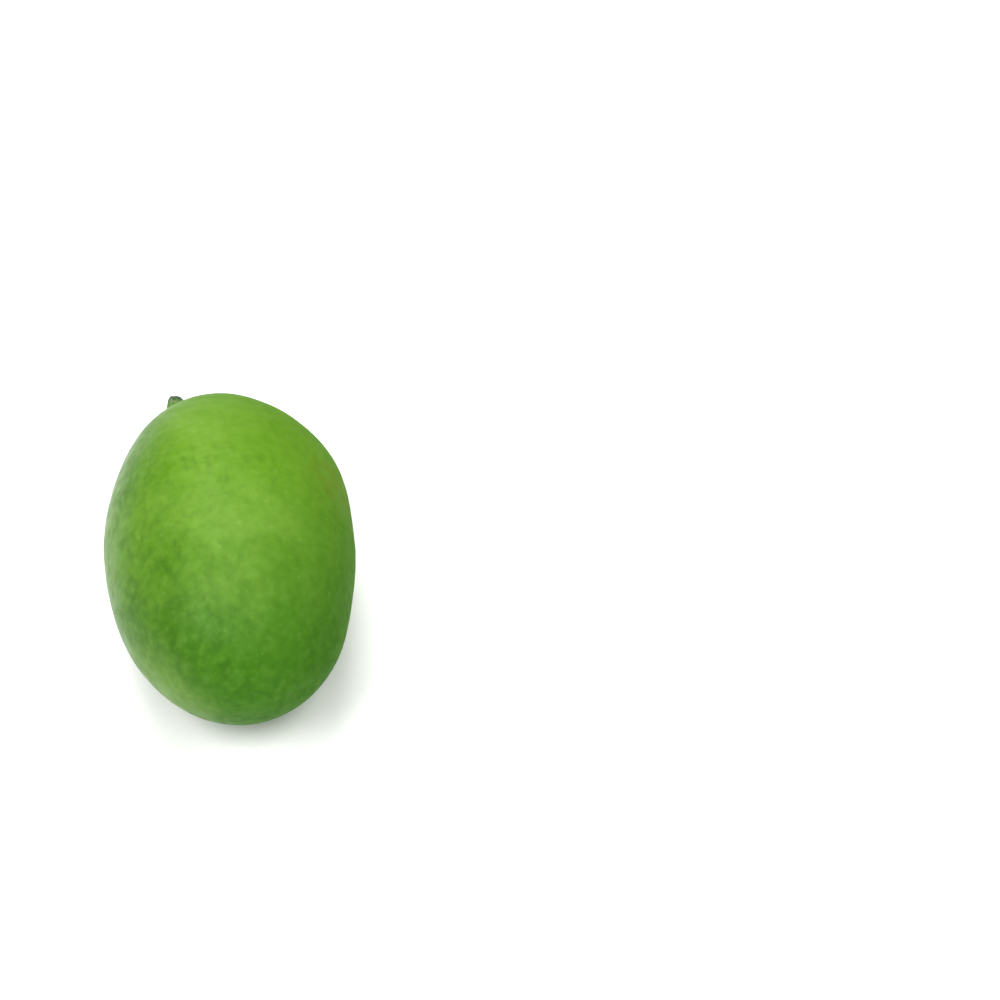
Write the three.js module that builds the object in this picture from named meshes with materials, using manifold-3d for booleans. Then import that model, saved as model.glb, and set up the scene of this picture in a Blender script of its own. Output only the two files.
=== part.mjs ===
// A tender green mango, picked with a short stub of its stalk and lying on one cheek.
//
// Frame: +Z up, +Y from the rounded tip to the stalk end, +X towards the belly side, which holds
// the fuller shoulder. The origin is under the middle of the whole object, on the surface that it
// lies on. Lengths are in millimetres and angles in degrees.
//
// The fruit is a sphere whose vertices are moved out along their own directions: first to an
// ellipsoid, then by a few soft swellings and hollows, each named below. Its pole is turned to the
// stalk, so that the rings of vertices run round the stalk and close up on the neck there.

import * as THREE from "three";
import { mergeVertices } from "three/addons/utils/BufferGeometryUtils.js";
import Module from "manifold-3d";

// ---- driving dimensions -------------------------------------------------------------------

// The ellipsoid that the swellings are put on.
const FRUIT_LENGTH = 71; // from tip to stalk end, along Y
const FRUIT_WIDTH = 45; // from back to belly, along X
const FRUIT_THICKNESS = 41.5; // from cheek to cheek, along Z

// Swellings and hollows, all in the middle plane between the cheeks. Each stands on a direction
// from the centre: "round" turns from the long axis' stalk end towards the belly, so that the
// back has negative turns. It fades to 1/e of its height at "spread" degrees away.
const SWELLINGS = {
  bellyShoulder: { round: 50, height: 1.45, spread: 24 },
  bellyHollow: { round: 95, height: -0.5, spread: 26 },
  bellyTaper: { round: 128, height: -1.05, spread: 20 },
  bluntTip: { round: 172, height: -0.4, spread: 22 },
  backFullness: { round: -140, height: 0.7, spread: 26 },
  backShoulder: { round: -45, height: -0.5, spread: 24 },
  neck: { round: -12, height: 2.4, spread: 9.5 },
};

const REST_CUT = 0.35; // how far the lower cheek is pressed flat where the fruit lies

// The stub of the stalk, a turned profile that flares from its snapped end down into the neck.
const STALK_TURN = -8.7; // where it grows, a little round on the back side
const STALK_LEAN = 13; // it leaves the neck this far off the long axis, towards the back
const STALK_PITCH = 7; // and this far upwards
const STUB_LENGTH = 4.2; // above the skin
const STUB_BEND = 28; // how far it turns from its foot to its end
const BEND_WAY = 58; // from the belly side round to upwards
const STUB_END_RADIUS = 1.2;
const STUB_FOOT_RADIUS = 3.5;
const FLARE_DEPTH = 1.5; // how far below the root the flare ends, on the neck's slope
const FLARE_POWER = 1.1; // above 1, the flare widens faster the nearer the foot
const STUB_SUNK = 2.1; // depth of its foot below the root
const END_ROUNDED = { over: 0.8, share: 0.6 }; // length of the rounding, and how much it takes
const SNAPPED_DISH = 0.2; // depth of the hollow in the snapped end
const RIB_COUNT = 5; // soft ribs along it
const RIB_SHARE = 0.04; // their height, as a share of the radius
const GAP = 0.3; // all round the foot in its socket

// Facets.
const AROUND = 64;
const ALONG = 44;
const CLOSER_AT_NECK = 1.3; // above 1, the rings of vertices stand closer at the stalk
const STUB_SIDES = 20;
const STUB_RINGS = 14;
const MERGE_DISTANCE = 1e-4;

// ---- helpers ------------------------------------------------------------------------------

const radians = THREE.MathUtils.degToRad;
const wasm = await Module();
wasm.setup();

// The direction in the middle plane that is turned this far from the long axis.
function direction(round) {
  return new THREE.Vector3(Math.sin(radians(round)), Math.cos(radians(round)), 0);
}

// 1 at a distance of 0, falling to 1/e at the spread.
function bump(distance, spread) {
  return Math.exp(-((distance / spread) ** 2));
}

// A closed three.js geometry as a manifold-3d solid.
function solidOf(geometry) {
  const bare = geometry.clone();
  bare.deleteAttribute("normal");
  bare.deleteAttribute("uv");
  const merged = mergeVertices(bare, MERGE_DISTANCE);
  return new wasm.Manifold(
    new wasm.Mesh({
      numProp: 3,
      vertProperties: merged.attributes.position.array,
      triVerts: new Uint32Array(merged.index.array),
    }),
  );
}

// A manifold-3d solid as a three.js geometry.
function geometryOf(solid) {
  const mesh = solid.getMesh();
  const geometry = new THREE.BufferGeometry();
  geometry.setAttribute("position", new THREE.BufferAttribute(mesh.vertProperties, 3));
  geometry.setIndex(new THREE.BufferAttribute(mesh.triVerts, 1));
  geometry.computeVertexNormals();
  return geometry;
}

// Moves every vertex of a geometry to where place(x, y, z) puts it.
function moveVertices(geometry, place) {
  const position = geometry.attributes.position;
  for (let i = 0; i < position.count; i++) {
    const { x, y, z } = place(position.getX(i), position.getY(i), position.getZ(i));
    position.setXYZ(i, x, y, z);
  }
  return geometry;
}

// ---- the fruit ----------------------------------------------------------------------------

// Distance from the fruit's centre to its skin: the ellipsoid's radius in that direction, plus
// each swelling by how near its middle the direction is.
function skinRadius(toward) {
  let radius =
    1 /
    Math.hypot(
      toward.x / (FRUIT_WIDTH / 2),
      toward.y / (FRUIT_LENGTH / 2),
      toward.z / (FRUIT_THICKNESS / 2),
    );
  for (const { round, height, spread } of Object.values(SWELLINGS)) {
    radius += height * bump(toward.angleTo(direction(round)), radians(spread));
  }
  return radius;
}

// The ball's pole, which three.js puts on +Y, turned to the stalk.
const toStalk = new THREE.Quaternion().setFromUnitVectors(
  new THREE.Vector3(0, 1, 0),
  direction(STALK_TURN),
);

function fruitSolid() {
  const ball = moveVertices(new THREE.SphereGeometry(1, AROUND, ALONG), (x, y, z) => {
    const share = Math.acos(THREE.MathUtils.clamp(y, -1, 1)) / Math.PI;
    const polar = Math.PI * share ** CLOSER_AT_NECK;
    const around = Math.atan2(z, x);
    const toward = new THREE.Vector3(
      Math.sin(polar) * Math.cos(around),
      Math.cos(polar),
      Math.sin(polar) * Math.sin(around),
    ).applyQuaternion(toStalk);
    return toward.multiplyScalar(skinRadius(toward));
  });
  const floorSide = 2 * FRUIT_LENGTH;
  const floorDepth = FRUIT_THICKNESS;
  const floor = new THREE.BoxGeometry(floorSide, floorSide, floorDepth);
  floor.translate(0, 0, REST_CUT - FRUIT_THICKNESS / 2 - floorDepth / 2);
  return solidOf(ball).subtract(solidOf(floor)).subtract(solidOf(stubGeometry(GAP)));
}

// ---- the stub of the stalk ----------------------------------------------------------------

// Where the stub leaves the neck, and its frame: its own Y runs out along the stalk's foot.
const stalkRoot = direction(STALK_TURN);
stalkRoot.multiplyScalar(skinRadius(stalkRoot));
const stalkFrame = new THREE.Matrix4().compose(
  stalkRoot,
  new THREE.Quaternion().setFromEuler(
    new THREE.Euler(radians(STALK_PITCH), 0, radians(STALK_LEAN), "ZXY"),
  ),
  new THREE.Vector3(1, 1, 1),
);

// Bends what stands above the root along an arc towards BEND_WAY.
const bendAcross = new THREE.Vector3(Math.cos(radians(BEND_WAY)), 0, Math.sin(radians(BEND_WAY)));
const bendRadius = STUB_LENGTH / radians(STUB_BEND);
function bent(point) {
  const angle = Math.max(point.y, 0) / bendRadius;
  const straight = Math.min(point.y, 0);
  const across = point.dot(bendAcross);
  const moved = point.clone().addScaledVector(bendAcross, -across);
  moved.y = straight + (bendRadius - across) * Math.sin(angle);
  const carried = bendRadius * (1 - Math.cos(angle)) + across * Math.cos(angle);
  return moved.addScaledVector(bendAcross, carried);
}

// The stub, grown outwards by a distance. The foot is straight. Above it the profile narrows and
// is rounded off at the snapped end, and the turned shape is ribbed.
function stubGeometry(grown) {
  const bottom = -STUB_SUNK - grown;
  const profile = [
    new THREE.Vector2(0, bottom),
    new THREE.Vector2(STUB_FOOT_RADIUS + grown, bottom),
  ];
  for (let i = 0; i <= STUB_RINGS; i++) {
    const share = i / STUB_RINGS;
    const flare = (1 - share) ** FLARE_POWER;
    const height = THREE.MathUtils.lerp(-FLARE_DEPTH, STUB_LENGTH, share);
    const intoEnd = Math.max((height - STUB_LENGTH) / END_ROUNDED.over + 1, 0);
    const rounded = Math.sqrt(1 - END_ROUNDED.share * intoEnd ** 2);
    const radius = THREE.MathUtils.lerp(STUB_END_RADIUS, STUB_FOOT_RADIUS, flare) * rounded;
    profile.push(new THREE.Vector2(radius + grown, height + grown * share));
  }
  profile.push(new THREE.Vector2(0, STUB_LENGTH - SNAPPED_DISH + grown));
  const stub = moveVertices(new THREE.LatheGeometry(profile, STUB_SIDES), (x, y, z) => {
    const rib = 1 + RIB_SHARE * Math.cos(RIB_COUNT * Math.atan2(z, x));
    return bent(new THREE.Vector3(x * rib, y, z * rib));
  });
  return stub.applyMatrix4(stalkFrame);
}

// ---- the whole mango ----------------------------------------------------------------------

function pieceOf(name, geometry, color, roughness) {
  const material = new THREE.MeshStandardMaterial({ color, roughness, metalness: 0 });
  const mesh = new THREE.Mesh(geometry, material);
  mesh.name = name;
  return mesh;
}

const SKIN_GREEN = 0x6fa63c;
const STALK_GREEN = 0x4f6a38;

const mango = new THREE.Group();
mango.add(pieceOf("fruit", geometryOf(fruitSolid()), SKIN_GREEN, 0.45));
mango.add(pieceOf("stalk_stub", stubGeometry(0), STALK_GREEN, 0.8));

// Puts the origin under the middle of the whole, on the surface that it lies on.
const bounds = new THREE.Box3().setFromObject(mango, true);
const middle = bounds.getCenter(new THREE.Vector3());
mango.children.forEach((piece) => piece.position.set(-middle.x, -middle.y, -bounds.min.z));

export default mango;
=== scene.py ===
# %% [markdown]
# # A tender green mango
#
# A mango that is picked before its seed hardens is about as long as a thumb and as firm as an
# apple. Its skin is thin, waxy and green all over, and a short stub of the stalk stays on it.
# This lesson builds such a fruit in two pieces, the fruit and the stub, in metres, around a
# plain model of both that already stands in the scene and says where everything is.
#
# The plain model is loaded first, and the box of its fruit is kept, because the finished fruit
# is fitted into it.

# %% The plain model
import math

import bpy
import numpy as np
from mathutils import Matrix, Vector


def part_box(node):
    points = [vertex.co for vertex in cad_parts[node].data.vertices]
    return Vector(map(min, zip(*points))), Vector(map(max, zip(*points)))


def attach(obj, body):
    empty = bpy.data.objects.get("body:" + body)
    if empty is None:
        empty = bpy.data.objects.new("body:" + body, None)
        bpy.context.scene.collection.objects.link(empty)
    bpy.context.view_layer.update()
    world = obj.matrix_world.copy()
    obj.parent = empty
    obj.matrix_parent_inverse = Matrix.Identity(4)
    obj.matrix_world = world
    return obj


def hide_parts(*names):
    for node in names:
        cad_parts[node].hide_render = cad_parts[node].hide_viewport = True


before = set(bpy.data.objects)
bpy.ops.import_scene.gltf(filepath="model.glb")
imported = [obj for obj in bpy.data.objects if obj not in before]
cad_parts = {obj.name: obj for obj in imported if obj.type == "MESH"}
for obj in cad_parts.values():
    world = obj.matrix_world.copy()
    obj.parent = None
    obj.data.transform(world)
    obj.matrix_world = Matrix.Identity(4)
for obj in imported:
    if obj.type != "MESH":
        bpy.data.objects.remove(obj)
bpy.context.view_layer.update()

MM = 0.001

# %% [markdown]
# ## The camera
#
# The fruit is seen from its tip, half from above, through a long lens that hardly tapers it.
# A camera can be placed by trial, but then the fruit wanders whenever the lens changes. Here
# four values say it all: how steeply and from which side the camera looks, how far off it
# stands, and where in the picture the middle of the fruit falls.

# %% The camera
PICTURE_SIDE = 1000  # pixels
MIDDLE_IN_PICTURE = (230.6, 550.9)  # pixels from the left and from the top
LENS = 85.0
SENSOR = 36.0
CAMERA_ELEVATION = math.radians(47)
CAMERA_AZIMUTH = math.radians(-11)
CAMERA_DISTANCE = 422.2 * MM
NEAREST_SEEN = 10 * MM


def make_camera(target):
    """A camera that sees target at MIDDLE_IN_PICTURE.

    It looks along a fixed direction. The point that it aims at lies beside target, by as many
    steps of one pixel as MIDDLE_IN_PICTURE lies from the middle of the picture.
    """
    back = Vector((
        math.sin(CAMERA_AZIMUTH) * math.cos(CAMERA_ELEVATION),
        -math.cos(CAMERA_AZIMUTH) * math.cos(CAMERA_ELEVATION),
        math.sin(CAMERA_ELEVATION),
    ))
    right = (-back).cross(Vector((0, 0, 1))).normalized()
    up = right.cross(-back)
    pixel = CAMERA_DISTANCE * SENSOR / LENS / PICTURE_SIDE
    across = PICTURE_SIDE / 2 - MIDDLE_IN_PICTURE[0]
    above = MIDDLE_IN_PICTURE[1] - PICTURE_SIDE / 2
    data = bpy.data.cameras.new("camera")
    data.lens = LENS
    data.sensor_width = SENSOR
    data.clip_start = NEAREST_SEEN
    camera = bpy.data.objects.new("camera", data)
    camera.location = target + (right * across + up * above) * pixel + back * CAMERA_DISTANCE
    camera.rotation_euler = back.to_track_quat("Z", "Y").to_euler()
    bpy.context.scene.collection.objects.link(camera)
    return camera


fruit_low, fruit_high = (np.array(corner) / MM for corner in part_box("fruit"))
bpy.context.scene.camera = make_camera(Vector((fruit_low + fruit_high) / 2 * MM))
print("camera at, mm:", [round(c / MM, 1) for c in bpy.context.scene.camera.location])

# %% [markdown]
# ## Tools for surfaces
#
# Both pieces are closed surfaces with two poles, like a globe: rows of points run round, and
# the rows run from one pole to the other. One function turns such rows into a mesh. A few
# small functions on whole arrays do the shaping: a soft bump, a smooth step, waves that run
# round a circle, and an even random relief made of many crossing waves, which has a clear size
# from hill to hill. A noise texture with a Displace modifier could do the last, but waves can
# be laid on in millimetres.


# %% A mesh from rows of points
def globe_mesh(name, first_pole, rows, last_pole):
    """A closed mesh from an array of rows of points, in mm, and a point for each pole.

    Neighbouring rows are joined by four-sided faces, and each pole to its row by triangles.
    Seen from outside, the points of a row run clockwise about the first pole.
    """
    row_count, around = rows.shape[:2]
    points = np.vstack([first_pole, rows.reshape(-1, 3), last_pole]) * MM
    ring = np.arange(around)
    following = (ring + 1) % around
    starts = 1 + around * np.arange(row_count - 1)[:, None]
    quads = np.stack([
        starts + following, starts + around + following, starts + around + ring, starts + ring,
    ], axis=-1).reshape(-1, 4)
    first_cap = np.stack([np.zeros(around, int), 1 + following, 1 + ring], axis=1)
    last_start = 1 + around * (row_count - 1)
    last_cap = np.stack([
        last_start + ring, last_start + following, np.full(around, len(points) - 1),
    ], axis=1)
    mesh = bpy.data.meshes.new(name)
    mesh.from_pydata(points, [], quads.tolist() + first_cap.tolist() + last_cap.tolist())
    mesh.shade_smooth()
    piece = bpy.data.objects.new(name, mesh)
    bpy.context.scene.collection.objects.link(piece)
    print(name, "has", len(points), "points and", 2 * len(quads) + 2 * around, "triangles")
    return piece


def add_attribute(piece, name, kind, values):
    """Stores an array on the points of a piece: kind is FLOAT or FLOAT_VECTOR."""
    key = "vector" if kind == "FLOAT_VECTOR" else "value"
    attribute = piece.data.attributes.new(name, kind, "POINT")
    attribute.data.foreach_set(key, np.asarray(values, np.float32).ravel())


# %% Shaping functions
def bump(distance, spread):
    """1 where distance is 0, falling to 1/e where it equals spread."""
    return np.exp(-((distance / spread) ** 2))


def smooth_step(value, start, end):
    """0 up to start, 1 from end, and 3 t^2 - 2 t^3 of the share t in between."""
    share = np.clip((value - start) / (end - start), 0, 1)
    return share * share * (3 - 2 * share)


def cosines(turn, *waves):
    """The sum of height * cos(count * turn + phase) over waves round a circle."""
    return sum(height * np.cos(count * turn + phase) for height, count, phase in waves)


WAVES = 60
LENGTHS_VARY = 0.25  # share of the wave length


def wave_relief(points, size, seed):
    """Even random relief: the sum of plane waves with random directions and phases.

    size is the wave length, which each wave varies by up to LENGTHS_VARY. The sum is divided
    by the root of half the number of waves, so that its standard deviation is 1.
    """
    draw = np.random.default_rng(seed)
    way = draw.normal(size=(WAVES, 3))
    way /= np.linalg.norm(way, axis=1)[:, None]
    length = size * draw.uniform(1 - LENGTHS_VARY, 1 + LENGTHS_VARY, WAVES)
    phase = draw.uniform(0, 2 * math.pi, WAVES)
    total = np.zeros(points.shape[:-1])
    for w, l, p in zip(way, length, phase):
        total += np.cos(points @ w * (2 * math.pi / l) + p)
    return total / math.sqrt(WAVES / 2)


print("a bump at 0, 1 and 2 spreads:", bump(np.arange(3), 1).round(2))

# %% [markdown]
# ## The form of the fruit
#
# A mango isn't round: it is flatter between its two cheeks than from back to belly, the belly
# side is full near the stalk and runs in straighter towards the tip, and the stalk stands a
# little to the back, on a low neck. Sculpting gets there, but can't be adjusted afterwards.
# Here the form is an ellipsoid with named swellings and hollows on it, each at one direction
# from the centre, so that each can be changed by itself.

# %% Distance from the centre to the skin
FRUIT_SIZE = np.array([45.0, 71.0, 41.5])  # mm: back to belly, tip to stalk end, cheek to cheek
SWELLINGS = {  # degrees round from the long axis, height in mm, spread in degrees
    "belly shoulder": (50, 1.45, 24),
    "belly hollow": (95, -0.5, 26),
    "belly taper": (128, -1.05, 20),
    "blunt tip": (172, -0.4, 22),
    "back fullness": (-140, 0.7, 26),
    "back shoulder": (-45, -0.5, 24),
    "neck": (-12, 2.4, 9.5),
}
STALK_TURN = -8.7  # where the stalk grows, in degrees round from the long axis


def middle_direction(round_degrees):
    """The direction in the plane between the cheeks, turned from +Y towards +X."""
    turn = math.radians(round_degrees)
    return np.array([math.sin(turn), math.cos(turn), 0.0])


def angle_to(toward, direction):
    """Degrees between each of many unit vectors and one direction."""
    return np.degrees(np.arccos(np.clip(toward @ direction, -1, 1)))


def skin_radius(toward):
    """Distance in mm from the centre to the skin along each unit vector.

    It is the radius of the ellipsoid, 1 / |toward / half its size|, plus for each swelling its
    height times a bump of the angle between its middle and the direction.
    """
    radius = 1 / np.linalg.norm(toward / (FRUIT_SIZE / 2), axis=-1)
    for turn, height, spread in SWELLINGS.values():
        radius += height * bump(angle_to(toward, middle_direction(turn)), spread)
    return radius


for name, (turn, *_) in SWELLINGS.items():
    print(f"skin at the {name}: {skin_radius(middle_direction(turn)):.2f} mm from the centre")

# %% [markdown]
# The points run in rings round the stalk, because every fine form on a fruit does so there:
# the groove round the stalk's foot, the rim of skin beside it and the folds of the neck. One
# ring in four is spent on the neck, where they stand a tenth of a millimetre apart. The
# fruit's centre is found from the plain fruit's box, whose sides touch the skin at the belly,
# at the tip and on top of the upper cheek.

# %% Directions of the points, and the centre
AROUND = 380
NECK_RINGS = 68
OTHER_RINGS = 186
NECK_REACH = 7.5  # mm from the stalk's middle

stalk_way = middle_direction(STALK_TURN)
side_way = np.array([stalk_way[1], -stalk_way[0], 0.0])
up_way = np.array([0.0, 0.0, 1.0])


def globe_directions(polar, turn):
    """Unit vectors at an angle from the stalk, turned round it from the belly side upwards."""
    return (
        np.cos(polar)[..., None] * stalk_way
        + (np.sin(polar) * np.cos(turn))[..., None] * side_way
        + (np.sin(polar) * np.sin(turn))[..., None] * up_way
    )


neck_radius = float(skin_radius(stalk_way))
neck_polars = np.linspace(0, NECK_REACH / neck_radius, NECK_RINGS + 1)[1:]
other_polars = np.linspace(neck_polars[-1], math.pi, OTHER_RINGS + 2)[1:-1]
polars = np.concatenate([neck_polars, other_polars])[:, None] * np.ones(AROUND)
turns = 2 * math.pi * np.arange(AROUND) / AROUND + np.zeros_like(polars)
toward = globe_directions(polars, turns)
plain_skin = toward * skin_radius(toward)[..., None]
fruit_centre = np.array([
    fruit_high[0] - plain_skin[..., 0].max(),
    fruit_low[1] - plain_skin[..., 1].min(),
    fruit_high[2] - plain_skin[..., 2].max(),
])
print("centre of the fruit, mm:", fruit_centre.round(2), "neck at", round(neck_radius, 2))

# %% [markdown]
# ## The form of the stub
#
# The stalk was snapped off a few millimetres above the fruit. What is left is a low cone: it
# flares down onto the neck, and its snapped end is rounded and a little hollow. Low ribs and
# fine wrinkles run along it. A spin of a curve makes a cone, but ribs, wrinkles and a ragged
# end need the turn as well as the height. So its radius is a formula of both, in a frame of
# its own, whose second axis runs out along the foot. The skin uses that frame too, so that
# the groove and the rim lie close round the foot on all its sides.

# %% Profile of the stub, in mm
STALK_LEAN = math.radians(13)  # off the long axis, towards the back
STALK_PITCH = math.radians(7)  # upwards
STUB_LENGTH, STUB_SUNK = 4.2, 2.1
STUB_BEND = math.radians(28)  # from foot to end
BEND_WAY = math.radians(58)  # from the belly side round to upwards
FOOT_RADIUS, END_RADIUS = 3.5, 1.2
FLARE_DEPTH, FLARE_POWER = 1.5, 1.1
ROUNDED_OVER, ROUNDED_SHARE = 0.8, 0.6
RIB_COUNT, RIB_SHARE = 5, 0.04
RIB_WANDER, WANDER_BY_HEIGHT, WANDER_BY_TURN = 0.25, 1.7, 3
WRINKLE_COUNT, WRINKLE_HEIGHT = 19, 0.03
WRINKLE_WANDER = 2  # times that of the ribs
WRINKLE_STRENGTH, WRINKLE_VARIED, WRINKLE_GROUPS = 0.6, 0.4, 3
SIDE_ENDS = 2 * STUB_SUNK  # below the root

stub_y = np.array([
    -math.sin(STALK_LEAN) * math.cos(STALK_PITCH),
    math.cos(STALK_LEAN) * math.cos(STALK_PITCH),
    math.sin(STALK_PITCH),
])
stub_x = np.array([math.cos(STALK_LEAN), math.sin(STALK_LEAN), 0.0])
stub_axes = np.stack([stub_x, stub_y, np.cross(stub_x, stub_y)])
stalk_root = stalk_way * neck_radius + fruit_centre


def side_radius(height, turn):
    """Radius of the stub by height above its root and turn round it.

    From end to foot it grows with a power of the share of the way down, and the last bit at
    the end is rounded off like a quarter of an ellipse. Ribs scale it by a cosine of the turn,
    and finer wrinkles, which wander with the height, are added to it.
    """
    down = np.clip((STUB_LENGTH - height) / (STUB_LENGTH + FLARE_DEPTH), 0, 1)
    radius = END_RADIUS + (FOOT_RADIUS - END_RADIUS) * down ** FLARE_POWER
    into_end = np.clip((height - STUB_LENGTH) / ROUNDED_OVER + 1, 0, 1)
    radius = radius * np.sqrt(1 - ROUNDED_SHARE * into_end ** 2)
    wander = RIB_WANDER * np.sin(WANDER_BY_HEIGHT * height + WANDER_BY_TURN * np.cos(turn))
    rib = 1 + RIB_SHARE * np.cos(RIB_COUNT * turn + wander)
    strength = WRINKLE_STRENGTH + WRINKLE_VARIED * np.cos(WRINKLE_GROUPS * turn + height)
    wrinkle = np.cos(WRINKLE_COUNT * turn + WRINKLE_WANDER * wander) * strength
    return radius * rib + WRINKLE_HEIGHT * wrinkle


def beside_stub(points):
    """How far in mm points stand off the stub's side, and their turn round it.

    Below SIDE_ENDS there is no side, and the depth under it is added to the distance.
    """
    own = (points - stalk_root) @ stub_axes.T
    turn = np.arctan2(own[..., 2], own[..., 0])
    below = np.maximum(-own[..., 1] - SIDE_ENDS, 0)
    return np.hypot(own[..., 0], own[..., 2]) - side_radius(own[..., 1], turn) + below, turn


for name, height in (("snapped end", STUB_LENGTH), ("root", 0.0), ("foot", -FLARE_DEPTH)):
    print(f"stub at its {name}: {2 * side_radius(height, 0.0):.2f} mm thick")

# %% [markdown]
# ## The skin's relief
#
# A smooth surface with a bumpy material looks like plastic, because its outline and its
# highlights stay perfect. The real skin is uneven on three scales: dents that a fingertip
# could feel, a faint waviness, and the fine pebbling of the oil cells under it. All three are
# real geometry here. Round the foot of the stalk runs a fine groove, then a soft rim of skin,
# from which a few uneven folds run out over the neck and fade. At the tip, the flower has
# left a tiny scar.

# %% Relief in mm
DENTS = (21.0, 0.055)  # from hill to hill, and height
WAVINESS = (7.5, 0.016)
PEBBLING = (1.9, 0.008)
GROOVE_WIDTH, GROOVE_DEPTH = 0.3, 0.14
RIM_OUT, RIM_WIDTH, RIM_HEIGHT = 0.65, 0.5, 0.13  # RIM_OUT is from the foot of the stub
RIM_VARIED = (0.3, 2, 1)  # height, count and phase of a cosine of the turn, as in the next two
FOLD_COUNT, FOLD_HEIGHT, FOLDS_REACH = 7, 0.11, 4.5
FOLDS_SHIFTED = ((0.35, 1, 0.6), (0.2, 3, 2))
FOLD_STRENGTH, FOLDS_WEAKENED = 0.65, (0.35, 2, 2.4)
SCAR_TURN, SCAR_RADIUS, SCAR_DEPTH = 169.0, 0.45, 0.09

from_stub, stub_side = beside_stub(plain_skin + fruit_centre)
from_scar = np.radians(angle_to(toward, middle_direction(SCAR_TURN))) * FRUIT_SIZE[1] / 2


def neck_relief(distance, turn):
    """Groove, rim and folds by distance from the stub's side in mm and turn round it.

    The groove and the rim are bumps of the distance, and the rim's height varies with the turn.
    The folds are a cosine of the turn, which slower cosines shift and weaken, so that no two
    are alike. They grow out of the rim and fade with distance.
    """
    groove = -GROOVE_DEPTH * bump(distance, GROOVE_WIDTH)
    rim = RIM_HEIGHT * bump(distance - RIM_OUT, RIM_WIDTH) * (1 + cosines(turn, RIM_VARIED))
    uneven = turn + cosines(turn, *FOLDS_SHIFTED)
    strength = FOLD_STRENGTH + cosines(turn, FOLDS_WEAKENED)
    fade = smooth_step(distance, 0, 2 * RIM_OUT) * np.exp(-np.maximum(distance, 0) / FOLDS_REACH)
    return groove + rim + FOLD_HEIGHT * np.cos(FOLD_COUNT * uneven) * strength * fade


relief = neck_relief(from_stub, stub_side)
for seed, (size, height) in enumerate((DENTS, WAVINESS, PEBBLING)):
    relief = relief + height * wave_relief(plain_skin, size, seed)
relief -= SCAR_DEPTH * bump(from_scar, SCAR_RADIUS)
print("relief from", relief.min().round(2), "to", relief.max().round(2), "mm")

# %% [markdown]
# The fruit is heavy for its size, so where it lies the skin gives way and makes a small flat
# spot. A cut would leave a sharp edge. The root of the height squared plus a little softens
# it: well above the surface it changes nothing, and below the surface it runs out flat.

# %% The fruit
PRESSED_SOFTNESS = 0.03  # mm


def rest_on_surface(points):
    """Presses flat what would lie below z = 0: z becomes (z + sqrt(z^2 + softness^2)) / 2."""
    pressed = points.copy()
    height = points[..., 2]
    pressed[..., 2] = (height + np.sqrt(height ** 2 + PRESSED_SOFTNESS ** 2)) / 2
    return pressed


skin_points = toward * (skin_radius(toward) + relief)[..., None] + fruit_centre
skin_points = rest_on_surface(skin_points)
fruit = globe_mesh(
    "mango_fruit", skin_points[0].mean(axis=0), skin_points, skin_points[-1].mean(axis=0)
)


def with_poles(values):
    """The values of all points, with the means of the first and the last ring at the poles."""
    return np.concatenate([[values[0].mean()], values.ravel(), [values[-1].mean()]])


add_attribute(fruit, "from_stub", "FLOAT", with_poles(from_stub))
add_attribute(fruit, "from_scar", "FLOAT", with_poles(from_scar))

# %% [markdown]
# ## The stub of the stalk
#
# Its rows of points follow each other from the foot in the neck up the side, over the edge and
# across the snapped end to its middle, which is broken unevenly. The straight shape is then
# bent along an arc, as the stalk did when the fruit hung on it. Its straight frame is kept on
# its points, so that the bark's streaks can run along it.

# %% Side and snapped end of the straight stub
STUB_AROUND, SIDE_ROWS, END_ROWS = 144, 96, 22
CLOSER_AT_END = 0.8  # below 1, the rows stand closer towards the end
EDGE_RAGGED = ((0.06, 2, 1), (0.036, 5, 0), (0.024, 11, 2))  # height in mm, count, phase
EDGE_OVER = 1.0  # mm of the side that follow the ragged edge
DISH_DEPTH, DISH_POWER = 0.22, 3
FIBRE_HEIGHT = 0.04
FIBRES_ROUND, FIBRES_TURNED, FIBRES_BROKEN = 13, 9, 31

stub_turn = 2 * math.pi * np.arange(STUB_AROUND) / STUB_AROUND
side_share = np.linspace(0, 1, SIDE_ROWS)[:, None] ** CLOSER_AT_END
side_height = -STUB_SUNK + side_share * (STUB_LENGTH + STUB_SUNK)
side_out = side_radius(side_height, stub_turn)
near_end = smooth_step(side_height, STUB_LENGTH - EDGE_OVER, STUB_LENGTH)
side_height = side_height + cosines(stub_turn, *EDGE_RAGGED) * near_end

end_share = np.linspace(1, 0, END_ROWS + 2)[1:-1, None]
end_out = side_out[-1] * end_share
fibres = np.cos(FIBRES_ROUND * stub_turn + FIBRES_TURNED * end_share)
fibres = fibres * np.cos(FIBRES_BROKEN * end_share) * end_share
dish = DISH_DEPTH * (1 - end_share ** DISH_POWER)
end_height = side_height[-1] - dish + FIBRE_HEIGHT * fibres

rows_out = np.vstack([side_out, end_out])[::-1]
rows_height = np.vstack([side_height, end_height])[::-1]
stub_rows = np.stack([
    rows_out * np.cos(stub_turn), rows_height, rows_out * np.sin(stub_turn),
], axis=-1)
print("straight stub from", rows_height.min().round(2), "to", rows_height.max().round(2), "mm")


# %% The stub, bent and on the neck
def bent(place):
    """Own-frame positions with what stands above the root bent along an arc.

    The arc turns by STUB_BEND over STUB_LENGTH, towards BEND_WAY. A position keeps its distance
    from the middle line and turns with it.
    """
    way = np.array([math.cos(BEND_WAY), 0.0, math.sin(BEND_WAY)])
    arc_radius = STUB_LENGTH / STUB_BEND
    angle = np.maximum(place[..., 1], 0) / arc_radius
    across = place @ way
    along = np.minimum(place[..., 1], 0) + (arc_radius - across) * np.sin(angle)
    carried = arc_radius * (1 - np.cos(angle)) + across * np.cos(angle)
    moved = place + (carried - across)[..., None] * way
    moved[..., 1] = along
    return moved


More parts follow.
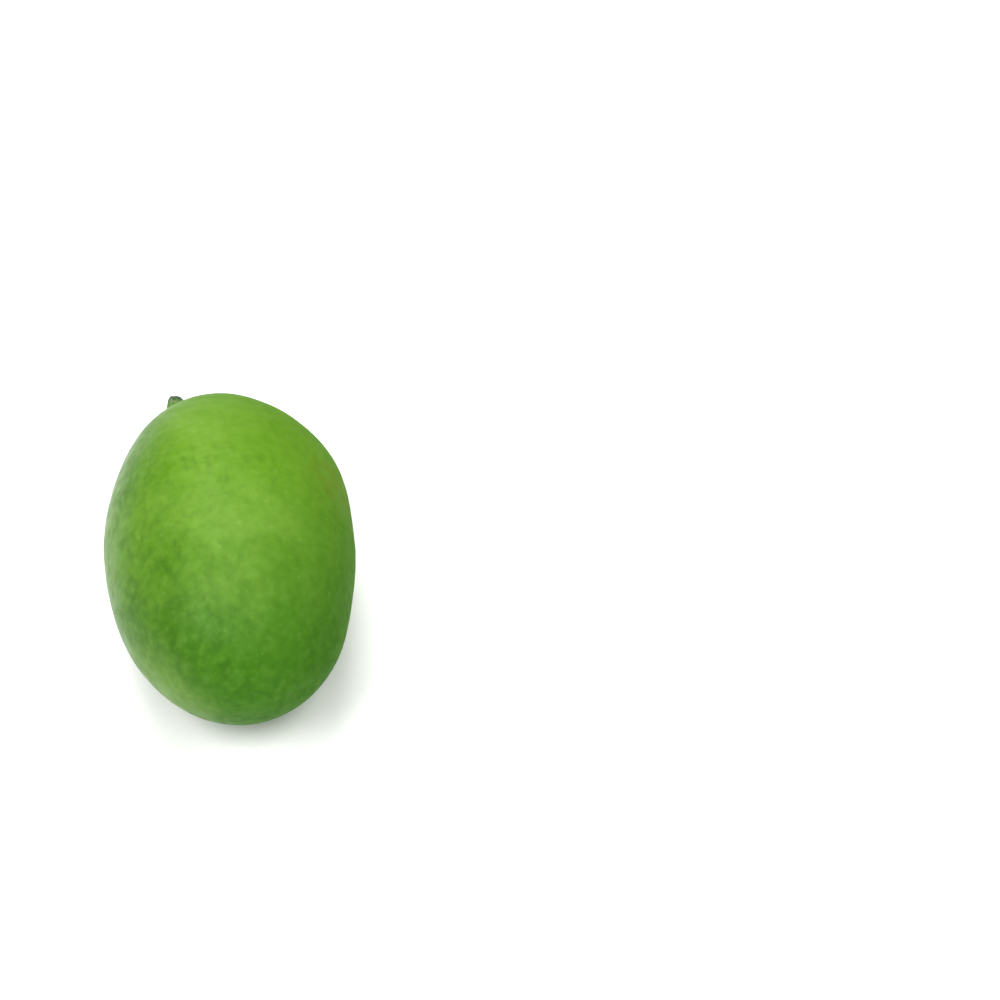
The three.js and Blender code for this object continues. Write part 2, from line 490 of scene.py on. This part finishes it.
def on_the_neck(place):
    """Own-frame positions, bent and set on the root."""
    return bent(place) @ stub_axes + stalk_root


end_middle = stub_rows[0].mean(axis=0)
foot_middle = np.array([0.0, -STUB_SUNK, 0.0])
stub = globe_mesh(
    "stalk_stub_bark", on_the_neck(end_middle), on_the_neck(stub_rows), on_the_neck(foot_middle)
)
add_attribute(stub, "own_place", "FLOAT_VECTOR",
              np.vstack([end_middle, stub_rows.reshape(-1, 3), foot_middle]))
add_attribute(stub, "on_end", "FLOAT", np.concatenate([
    [1.0], np.repeat(np.r_[np.ones(END_ROWS), np.zeros(SIDE_ROWS)], STUB_AROUND), [0.0],
]))

# %% [markdown]
# ## Tools for materials
#
# A material is a small graph of nodes. Made by hand in the editor it is quick to try out, but
# in a script every node takes four lines. One helper adds a node, sets its options and fills
# its inputs, where an input that is another node's output becomes a link. The others are built
# on it, so that a layer reads like a formula. The most used is the ramp, a soft step. It is
# given by where it begins and ends, and then by its values there, which are 0 and 1 if they
# aren't given.


# %% Shader node helpers
MIX_SHARE, MIX_FIRST, MIX_SECOND, MIX_RESULT = 0, 6, 7, 2  # the Mix node's sockets for colours


class Graph:
    """The node graph of a new material, with a Principled shader at its end."""

    def __init__(self, name):
        self.material = bpy.data.materials.new(name)
        self.material.use_nodes = True
        self.tree = self.material.node_tree
        self.shader = self.tree.nodes["Principled BSDF"]

    def fill(self, node, inputs):
        """Sets inputs by name or number: a socket is linked, and a value is put in."""
        for key, value in inputs.items():
            if isinstance(value, bpy.types.NodeSocket):
                self.tree.links.new(value, node.inputs[key])
            else:
                node.inputs[key].default_value = value

    def add(self, kind, inputs=None, **options):
        """Adds a node of a kind with its options and inputs."""
        node = self.tree.nodes.new("ShaderNode" + kind)
        for option, value in options.items():
            setattr(node, option, value)
        self.fill(node, inputs or {})
        return node

    def math(self, operation, *values):
        """The result of a Math node on up to three numbers or sockets."""
        return self.add("Math", dict(enumerate(values)), operation=operation).outputs[0]

    def total(self, first, *others):
        """The sum of numbers or sockets."""
        for value in others:
            first = self.math("ADD", first, value)
        return first

    def product(self, first, *others):
        """The product of numbers or sockets."""
        for value in others:
            first = self.math("MULTIPLY", first, value)
        return first

    def ramp(self, value, low, high, at_low=0.0, at_high=1.0):
        """at_low up to low, at_high from high, and a smooth step in between."""
        return self.add("MapRange", {
            "Value": value, "From Min": low, "From Max": high, "To Min": at_low, "To Max": at_high,
        }, interpolation_type="SMOOTHSTEP").outputs["Result"]

    def mix(self, share, first, second, blend="MIX"):
        """The colour between first and second by a share from 0 to 1."""
        node = self.add("Mix", data_type="RGBA", blend_type=blend)
        self.fill(node, {MIX_SHARE: share, MIX_FIRST: first, MIX_SECOND: second})
        return node.outputs[MIX_RESULT]

    def report(self, step):
        """Prints how large the graph is after a step."""
        print(f"{self.material.name}, with {step}: {len(self.tree.nodes)} nodes")


# %% Colours
BRIGHTEST = 255  # on a screen
DARK_END, DARK_SLOPE = 0.04045, 12.92  # up to this share a screen's curve is a straight line
LIFT, POWER = 0.055, 2.4  # and above it a power


def srgb(red, green, blue):
    """A colour from screen values of 0 to 255, as the linear values that shaders use.

    Up to DARK_END a share of the brightest is divided by DARK_SLOPE. Above, LIFT is added to
    it, and the sum is divided by 1 + LIFT and raised to POWER.
    """
    share = np.array([red, green, blue]) / BRIGHTEST
    bright = ((share + LIFT) / (1 + LIFT)) ** POWER
    return (*np.where(share <= DARK_END, share / DARK_SLOPE, bright).tolist(), 1.0)


half = srgb(BRIGHTEST / 2, 0, 0)[0]
print("half of the brightest on a screen is", round(half, 3), "in a shader")

# %% [markdown]
# A pattern needs a place to read. Here it is the place on the piece itself, in metres, so that
# a mottle of three millimetres is written as three millimetres, and nothing slides when the
# piece moves. Noise makes soft patches. Cells, each with a middle and two random numbers of
# its own, make scattered dots.


# %% Patterns
PLAIN_DETAIL = 2.0  # finer repeats of a noise, each at half the size of the last


def attribute(graph, name, output="Fac"):
    """A value that is stored on the points of the piece."""
    return graph.add("Attribute", attribute_name=name).outputs[output]


def distance_from(graph, place, middle):
    """Distance of a place from a fixed one."""
    return graph.add("VectorMath", {0: place, 1: middle}, operation="DISTANCE").outputs["Value"]


def stretched(graph, place, times):
    """A place on which patterns come out longer by this factor, along the second axis."""
    shrink = (1, 1 / times, 1)
    return graph.add("VectorMath", {0: place, 1: shrink}, operation="MULTIPLY").outputs[0]


def noise(graph, place, size, detail=PLAIN_DETAIL, roughness=0.5):
    """Noise between 0 and 1 whose patches are about size apart."""
    return graph.add("TexNoise", {
        "Vector": place, "Scale": 1 / size, "Detail": detail, "Roughness": roughness,
    }).outputs[0]


def warped(graph, place, size, amount):
    """A place that is moved by up to about an amount, with a noise of a size.

    The noise's three channels, less their mean of a half, are the offset along the three axes.
    """
    colours = graph.add("TexNoise", {"Vector": place, "Scale": 1 / size, "Detail": PLAIN_DETAIL})
    offset = graph.add("VectorMath", {0: colours.outputs["Color"], 1: (1 / 2,) * 3},
                       operation="SUBTRACT")
    return graph.add("VectorMath", {0: offset.outputs[0], 1: (2 * amount,) * 3, 2: place},
                     operation="MULTIPLY_ADD").outputs[0]


def cells(graph, place, size):
    """Distance from the middle of the nearest cell, in cells, and its two random numbers."""
    node = graph.add("TexVoronoi", {"Vector": place, "Scale": 1 / size}, feature="F1")
    chance = graph.add("SeparateColor", {"Color": node.outputs["Color"]})
    return node.outputs["Distance"], chance.outputs["Red"], chance.outputs["Green"]


# %% [markdown]
# ## The skin
#
# The skin is thin and waxy, and its green isn't one green. All of it could be one large noise.
# Separate layers, each with its size in millimetres, are easier to set, and the pattern holds
# together from far and near. Several of them share a noise: wide patches, mottles of a few
# millimetres, smaller flecks, and streaks that run from the stalk to the tip. No layer may end
# in a straight line, so the places that they go by are shifted by the patches and the mottles.
# Two layers change low on the back beside the tip, the marks and a painted reflection of the
# floor, so the distance from there is shared too.

# %% Patterns that the layers share
PATCH_SIZE = 16 * MM
MOTTLE_SIZE = 3.2 * MM
FLECK_SIZE = 1.6 * MM
STREAK_SIZE = 1.6 * MM  # across
STREAK_STRETCH = 3.3
WANDER = 7 * MM  # the patches shift a place by up to this much along the fruit
RAGGED = 3.5 * MM  # and the mottles across it
LOW_BACK = (-20 * MM, -34 * MM, 17 * MM)  # beside the tip

skin = Graph("waxy green skin")
place = skin.add("TexCoord").outputs["Object"]
axes = skin.add("SeparateXYZ", {"Vector": place})
patches = noise(skin, place, PATCH_SIZE, detail=3)
mottle = noise(skin, place, MOTTLE_SIZE)
flecks = noise(skin, place, FLECK_SIZE)
streaks = noise(
    skin, stretched(skin, place, STREAK_STRETCH), STREAK_SIZE, detail=3, roughness=0.55
)

wander = skin.math("MULTIPLY_ADD", patches, 2 * WANDER, -WANDER)
ragged = skin.math("MULTIPLY_ADD", mottle, 2 * RAGGED, -RAGGED)
to_belly = axes.outputs["X"]
along = skin.total(axes.outputs["Y"], wander)
across = skin.total(to_belly, ragged)
from_low_back = skin.total(distance_from(skin, place, LOW_BACK), ragged)
skin.report("shared patterns")

# %% [markdown]
# The green is light round the stalk and grows deeper towards the tip. The mottles, streaks and
# flecks are deeper still. They stand out more towards the back and away from the stalk, and
# fade again on the back's edge and low beside the tip. A band along the flank of the back is
# deeper too. The belly is darkened as well, most of all near the tip, and that is painted shade.
# A deeper green could be a second colour to mix in. But then the marks would vanish at the tip,
# where the skin has that colour already. Here the deepest skin takes away a share of whatever
# green is there, and the painted shade does so too.

# %% Greens
FRESH_GREEN = srgb(86, 131, 18)
TIP_GREEN = srgb(58, 107, 13)
TIP_TO_STALK = (-38 * MM, 8 * MM)

skin_colour = skin.mix(skin.ramp(along, *TIP_TO_STALK), TIP_GREEN, FRESH_GREEN)
skin.report("the two greens")

# %% Deeper marks
DEEPEST_AND_SHADE = (0.45, 0.6, 0.3, 1.0)  # what is left of the green
DEEP_MOTTLE = (0.40, 0.74, 0, 0.22)
DEEP_STREAK = (0.46, 0.80, 0, 0.32)
DEEP_FLECK = (0.46, 0.74, 0, 0.28)
MORE_TO_BACK = (12 * MM, -8 * MM, 0.6, 1.35)
MORE_FROM_STALK = (24 * MM, -4 * MM, 0.35, 1)
LESS_AT_BACK = (-16 * MM, -21.5 * MM, 1, 0.5)
LESS_AT_LOW_BACK = (24 * MM, 11 * MM, 1, 0.4)
FLANK, FLANK_END = (-6 * MM, -12 * MM, 0, 0.45), (-22 * MM, -16 * MM)
# The belly's deepening is painted shade, most of all near the tip.
BELLY_PAINTED_SHADE, BELLY_SHADE_END = (2 * MM, 14 * MM, 0, 0.22), (5 * MM, -12 * MM, 0.3, 1)

marks = skin.product(
    skin.total(skin.ramp(mottle, *DEEP_MOTTLE), skin.ramp(streaks, *DEEP_STREAK),
               skin.ramp(flecks, *DEEP_FLECK)),
    skin.ramp(to_belly, *MORE_TO_BACK),
    skin.ramp(along, *MORE_FROM_STALK),
    skin.ramp(to_belly, *LESS_AT_BACK),
    skin.ramp(from_low_back, *LESS_AT_LOW_BACK),
)
flank = skin.product(skin.ramp(across, *FLANK), skin.ramp(across, *FLANK_END))
belly = skin.product(skin.ramp(across, *BELLY_PAINTED_SHADE), skin.ramp(along, *BELLY_SHADE_END))
# The sum holds the deeper marks, the flank's band and the belly's painted shade.
depth = skin.total(marks, flank, belly)
skin_colour = skin.mix(depth, skin_colour, DEEPEST_AND_SHADE, "MULTIPLY")
skin.report("deeper marks")

# %% [markdown]
# Two things lie on the green. The belly has a faint brown patch, broken up by the mottles. And
# a pale waxy green is laid on in three wide places, and it is painted light: a painted highlight
# on the upper cheek and on its shoulder towards the stalk, where it lies in clouds, and an even
# painted reflection of the floor low on the back beside the tip. Both could be painted in an
# image. But a ramp of the distance from a middle moves with one number, and it has no seam or
# corner.

# %% Brown patch
# A faint brown patch on the belly, broken up by the mottles.
BROWN_PATCH = srgb(112, 110, 6)
BROWN_PATCH_MIDDLE = (19.7 * MM, 0.9 * MM, 30 * MM)
BROWN_PATCH_FADE = (11 * MM, 0, 0, 0.3)
BROWN_PATCH_GAPS = (0.3, 0.6)

from_brown_patch = skin.total(distance_from(skin, place, BROWN_PATCH_MIDDLE), ragged)
brown_patch = skin.product(skin.ramp(from_brown_patch, *BROWN_PATCH_FADE), skin.ramp(mottle, *BROWN_PATCH_GAPS))
skin_colour = skin.mix(brown_patch, skin_colour, BROWN_PATCH)
skin.report("brown_patch")

# %% Painted highlight and reflection
# A pale green laid on as painted light: a painted highlight on the upper cheek and on its
# shoulder, and a painted reflection of the floor low on the back beside the tip.
PAINTED_SHEEN_GREEN = srgb(126, 164, 66)
CHEEK_HIGHLIGHT_MIDDLE, CHEEK_PAINTED_HIGHLIGHT = (-3 * MM, -12 * MM, 38 * MM), (28 * MM, 2 * MM, 0, 0.3)
SHOULDER_HIGHLIGHT_MIDDLE, SHOULDER_PAINTED_HIGHLIGHT = (-4 * MM, 16 * MM, 38 * MM), (17 * MM, 3 * MM, 0, 0.22)
LOW_BACK_PAINTED_REFLECTION = (17 * MM, 6 * MM, 0, 0.42)
CLOUD_SIZE = 11 * MM
CLOUDS = (0.35, 0.7, 0.5, 1.5)

from_cheek = skin.total(distance_from(skin, place, CHEEK_HIGHLIGHT_MIDDLE), wander)
from_shoulder = skin.total(distance_from(skin, place, SHOULDER_HIGHLIGHT_MIDDLE), wander)
clouds = skin.ramp(noise(skin, place, CLOUD_SIZE, detail=4, roughness=0.6), *CLOUDS)
upper_painted_highlight = skin.total(
    skin.ramp(from_cheek, *CHEEK_PAINTED_HIGHLIGHT), skin.ramp(from_shoulder, *SHOULDER_PAINTED_HIGHLIGHT)
)
# The share of painted highlight, in clouds, and of painted reflection low on the back.
painted_sheen_share = skin.total(skin.product(upper_painted_highlight, clouds), skin.ramp(from_low_back, *LOW_BACK_PAINTED_REFLECTION))
skin_colour = skin.mix(painted_sheen_share, skin_colour, PAINTED_SHEEN_GREEN)
skin.report("painted_sheen")

# %% [markdown]
# Over the skin are scattered lenticels, the pores that it breathes through: each is a tiny
# pale dot in the middle of a soft pale speck. Painted by hand there would be thousands. Two
# sizes of cells give as many, in different strengths, and a warp of their places takes away
# the even spacing. Between them the skin has pale flecks without a pore, in the gaps of the
# deeper ones. They all stand out more towards the back.

# %% Lenticels
LARGE_CELLS, SMALL_CELLS = 1.9 * MM, 1.1 * MM
SMALL_SPECKS, SMALL_PORES = 0.6, 0.4  # how strong they are beside the large ones
JITTER_SIZE, JITTER = 0.9 * MM, 0.35 * MM
SPECK_FADE = (0.38, 0.05)  # in cells, as the next three are
LEAST_RADIUS, RADIUS_SPREAD = 0.02, 0.08
PORE_FADE = (-0.05, 0.03)


def specks_and_pores(places, size):
    """Shares of speck and of pore from 0 to 1, for cells of a size.

    A speck fades out smoothly from the middle of its cell, and its strength is one of the
    cell's random numbers. A pore is the small middle of a speck, and its radius is the other.
    """
    distance, strength, girth = cells(skin, places, size)
    radius = skin.math("MULTIPLY_ADD", girth, RADIUS_SPREAD, LEAST_RADIUS)
    inside = skin.math("SUBTRACT", radius, distance)
    return (skin.product(skin.ramp(distance, *SPECK_FADE), strength),
            skin.ramp(inside, *PORE_FADE))


jittered = warped(skin, place, JITTER_SIZE, JITTER)
specks, pores = specks_and_pores(jittered, LARGE_CELLS)
small_specks, small_pores = specks_and_pores(jittered, SMALL_CELLS)
specks = skin.math("MULTIPLY_ADD", small_specks, SMALL_SPECKS, specks)
pores = skin.math("MULTIPLY_ADD", small_pores, SMALL_PORES, pores)
skin.report("lenticels")

# %% Pale specks and flecks
SPECK_GREEN = srgb(124, 168, 76)
PORE_GREEN = srgb(158, 190, 124)
SPECK_SHARE, PORE_SHARE = 0.55, 0.1
PALE_FLECK = (0.52, 0.26, 0, 0.5)
PALE_TO_BACK = (20 * MM, -10 * MM, 0.088, 0.22)

pale = skin.math("MULTIPLY_ADD", specks, SPECK_SHARE, skin.ramp(flecks, *PALE_FLECK))
pale = skin.product(pale, skin.ramp(to_belly, *PALE_TO_BACK))
skin_colour = skin.mix(pale, skin_colour, SPECK_GREEN)
skin_colour = skin.mix(skin.product(pores, PORE_SHARE), skin_colour, PORE_GREEN)
skin.report("pale specks and flecks")

# %% [markdown]
# Round the foot of the stalk the skin has a paler rim, and where it meets the stalk it has
# turned to cork in a thin ragged line. The scar at the tip is cork too. They could be painted
# on the fruit. But the distances from the stub and from the scar are stored on its points, so
# ramps of those fit the groove and the dent there by themselves.

# %% Pale rim and cork
CORK = srgb(98, 96, 48)
RIM = (1.8, 0.6, 0, 0.3)  # mm, as in the next two
CORK_AT_STUB, STUB_RAGGED = (0.0, -0.4, 0, 0.6), 1.0
CORK_AT_SCAR, SCAR_RAGGED = (0.3, -0.1, 0, 0.4), 0.6

off_stub = attribute(skin, "from_stub")
off_scar = attribute(skin, "from_scar")
cork = skin.math(
    "MAXIMUM",
    skin.ramp(skin.math("MULTIPLY_ADD", mottle, -STUB_RAGGED, off_stub), *CORK_AT_STUB),
    skin.ramp(skin.math("MULTIPLY_ADD", mottle, -SCAR_RAGGED, off_scar), *CORK_AT_SCAR),
)
rim = skin.product(skin.ramp(off_stub, *RIM), clouds)
skin_colour = skin.mix(rim, skin_colour, SPECK_GREEN)
skin_colour = skin.mix(cork, skin_colour, CORK)
skin.report("rim and cork")

# %% [markdown]
# The shine is soft and wide, because the wax is fine. The back is glossier than the belly,
# which shows at its edge, where it mirrors the floor. The specks and pores stand out by a
# hundredth of a millimetre, and the skin between them is finely grained. That is too fine for
# the mesh, so it is bump. A little light goes into the skin and comes out again beside, as it
# does in every fruit.

# %% Relief, shine and light within
SPECK_HEIGHT, PORE_HEIGHT, GRAIN_HEIGHT = 0.01 * MM, 0.006 * MM, 0.005 * MM
GRAIN_SIZE = 0.5 * MM
ROUGHER_TO_BELLY = (-18 * MM, 18 * MM, 0.38, 0.85)
ROUGH_MOTTLE = (0.3, 0.7, -0.05, 0.05)
CORK_ROUGHNESS = 0.85

skin_height = skin.total(
    skin.product(specks, SPECK_HEIGHT),
    skin.product(pores, PORE_HEIGHT),
    skin.product(noise(skin, place, GRAIN_SIZE), GRAIN_HEIGHT),
)
roughness = skin.total(skin.ramp(to_belly, *ROUGHER_TO_BELLY), skin.ramp(mottle, *ROUGH_MOTTLE))
skin.fill(skin.shader, {
    "Base Color": skin_colour,
    "Roughness": skin.math("MAXIMUM", roughness, skin.product(cork, CORK_ROUGHNESS)),
    "Normal": skin.add("Bump", {"Height": skin_height, "Distance": 1.0}).outputs[0],
    "Specular IOR Level": 0.12,
    "Subsurface Weight": 0.1,
    "Subsurface Radius": (0.6, 1.0, 0.25),
    "Subsurface Scale": 1.2 * MM,
})
fruit.data.materials.append(skin.material)
skin.report("relief and shine")

# %% [markdown]
# ## The bark of the stub
#
# The stub is as green as the fruit where it leaves it, with darker streaks, and turns into a
# dark grey-green bark towards its end, with pale patches and dots. The snapped end is dry and
# brown. One colour for all of it would look like a plug that was stuck on. The bark's streaks
# are a noise that is pulled out along the stub, which needs a place in the stub's own frame,
# so it reads the one that is kept on the points, in millimetres.

# %% Streaks, patches and dots
BARK = srgb(72, 98, 58)
BARK_DARK = srgb(38, 58, 32)
BARK_PALE = srgb(126, 148, 104)
BARK_STREAK_SIZE, BARK_STRETCH = 0.42, 4.5  # the sizes here are in mm
BARK_PATCH_SIZE, DOT_CELLS = 1.6, 0.75
BARK_STREAKS = (0.35, 0.7)
BARK_PATCHES = (0.5, 0.75, 0, 0.45)
DOT_FADE, CELLS_WITHOUT_DOT = (0.24, 0.12, 0, 0.6), 0.6

bark = Graph("grey-green stalk bark")
own = attribute(bark, "own_place", "Vector")
bark_streaks = noise(
    bark, stretched(bark, own, BARK_STRETCH), BARK_STREAK_SIZE, detail=4, roughness=0.6
)
bark_patches = noise(bark, own, BARK_PATCH_SIZE)
off_dot, chance, _ = cells(bark, own, DOT_CELLS)
dots = bark.product(bark.ramp(off_dot, *DOT_FADE),
                    bark.math("GREATER_THAN", chance, CELLS_WITHOUT_DOT))

bark_colour = bark.mix(bark.ramp(bark_streaks, *BARK_STREAKS), BARK_DARK, BARK)
bark_colour = bark.mix(bark.ramp(bark_patches, *BARK_PATCHES), bark_colour, BARK_PALE)
bark_colour = bark.mix(dots, bark_colour, BARK_PALE)
bark.report("streaks, patches and dots")

# %% Green foot
FOOT_GREEN = srgb(92, 136, 34)
FOOT_DARK = srgb(76, 116, 30)
FOOT_STREAKS = (0.38, 0.62)
FOOT_RAGGED = 1.8  # mm, by which the streaks shift where the green ends
FOOT_END = (4.9, 3.2, 0, 0.8)  # mm above the root, and the patterns take about 1.4 off it

up_stub = bark.add("SeparateXYZ", {"Vector": own}).outputs["Y"]
border = bark.math("MULTIPLY_ADD", bark_streaks, FOOT_RAGGED, bark.total(bark_patches, up_stub))
foot = bark.mix(bark.ramp(bark_streaks, *FOOT_STREAKS), FOOT_DARK, FOOT_GREEN)
bark_colour = bark.mix(bark.ramp(border, *FOOT_END), bark_colour, foot)
bark.report("green foot")

# %% Snapped end, relief and shine
SNAPPED_WOOD = srgb(112, 106, 68)
SNAPPED_DARK = srgb(66, 62, 38)
WOOD_GRAIN_SIZE, WOOD_GRAIN = 0.3, (0.35, 0.65)
STREAK_HEIGHT, DOT_HEIGHT = 0.07 * MM, 0.05 * MM
SMOOTHER_STREAKS = (0.3, 0.7, 0.78, 0.6)

grain = noise(bark, own, WOOD_GRAIN_SIZE, detail=3, roughness=0.7)
snapped = bark.mix(bark.ramp(grain, *WOOD_GRAIN), SNAPPED_DARK, SNAPPED_WOOD)
bark_height = bark.total(
    bark.product(bark_streaks, STREAK_HEIGHT), bark.product(dots, DOT_HEIGHT)
)
bark.fill(bark.shader, {
    "Base Color": bark.mix(attribute(bark, "on_end"), bark_colour, snapped),
    "Roughness": bark.ramp(bark_streaks, *SMOOTHER_STREAKS),
    "Normal": bark.add("Bump", {"Height": bark_height, "Distance": 1.0}).outputs[0],
    "Specular IOR Level": 0.35,
})
stub.data.materials.append(bark.material)
bark.report("snapped end")

# %% [markdown]
# ## Floor and light
#
# A fruit on white needs a floor that is nearly white, and a light so even that its shadow is
# only a narrow darkening at the foot. A bright sky alone would do that, but it lights all
# sides alike, and the form goes flat. So four soft lamps stand round the fruit: one behind it,
# over the stalk, and three before the tip, of which the one on the back's side is strongest.
# They are suns, because lamps near by would light the floor in a pool and leave a grey horizon
# behind it. The floor is overexposed, which hides the weak outer part of the shadow. The sky
# lights hardly anything, but the camera sees it white.

# %% Floor
FLOOR_RADIUS, FLOOR_CORNERS = 2.5, 96
FLOOR_PALE = (0.93, 0.935, 0.925, 1.0)


def make_floor():
    """A round sheet under the fruit, of one face with many corners."""
    turn = 2 * math.pi * np.arange(FLOOR_CORNERS) / FLOOR_CORNERS
    ring = np.stack([np.cos(turn), np.sin(turn), 0 * turn], axis=1) * FLOOR_RADIUS
    mesh = bpy.data.meshes.new("floor")
    mesh.from_pydata(ring, [], [list(range(FLOOR_CORNERS))])
    floor = bpy.data.objects.new("floor", mesh)
    bpy.context.scene.collection.objects.link(floor)
    graph = Graph("matt white floor")
    graph.fill(graph.shader, {
        "Base Color": FLOOR_PALE, "Roughness": 0.9, "Specular IOR Level": 0.1,
    })
    mesh.materials.append(graph.material)
    return floor


floor = make_floor()
print("floor,", 2 * FLOOR_RADIUS, "m across, has", len(floor.data.polygons), "face")

# %% Lamps
LAMP_WIDTH = math.radians(32)
LAMPS = (  # degrees round from in front of the tip to the belly side, degrees up, and strength
    (180, 60, 2.0),
    (-60, 55, 2.12),
    (0, 56, 1.48),
    (60, 55, 1.13),
)


def make_lamp(azimuth, elevation, strength):
    """A sun as wide as a softbox, shining from a direction given in degrees."""
    data = bpy.data.lights.new("wide_lamp", "SUN")
    data.angle = LAMP_WIDTH
    data.energy = strength
    lamp = bpy.data.objects.new("wide_lamp", data)
    turn = math.radians(azimuth)
    rise = math.radians(elevation)
    towards = Vector((
        math.sin(turn) * math.cos(rise),
        -math.cos(turn) * math.cos(rise),
        math.sin(rise),
    ))
    lamp.rotation_euler = towards.to_track_quat("Z", "Y").to_euler()
    bpy.context.scene.collection.objects.link(lamp)


for lamp in LAMPS:
    make_lamp(*lamp)
    print("lamp at {} degrees round and {} up, strength {}".format(*lamp))

# %% Sky
SKY_SEEN, SKY_LIGHTING = 1.0, 0.04

world = bpy.data.worlds.new("sky")
world.use_nodes = True
sky_tree = world.node_tree
background = sky_tree.nodes["Background"]
background.inputs["Color"].default_value = (1.0, 1.0, 1.0, 1.0)
strength = sky_tree.nodes.new("ShaderNodeMix")
strength.inputs["A"].default_value = SKY_LIGHTING
strength.inputs["B"].default_value = SKY_SEEN
light_path = sky_tree.nodes.new("ShaderNodeLightPath")
sky_tree.links.new(light_path.outputs["Is Camera Ray"], strength.inputs["Factor"])
sky_tree.links.new(strength.outputs[0], background.inputs["Strength"])
bpy.context.scene.world = world
bpy.context.scene.view_settings.view_transform = "Standard"
print("sky's strength where it is seen", SKY_SEEN, "and where it lights", SKY_LIGHTING)

# %% [markdown]
# ## Hand over
#
# Each piece is attached to the body that it moves with, and the plain solid that it stands for
# is hidden.

# %% Hand over
for piece, node, finish in ((fruit, "fruit", "skin"), (stub, "stalk_stub", "stalk")):
    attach(piece, "root")
    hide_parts(node)
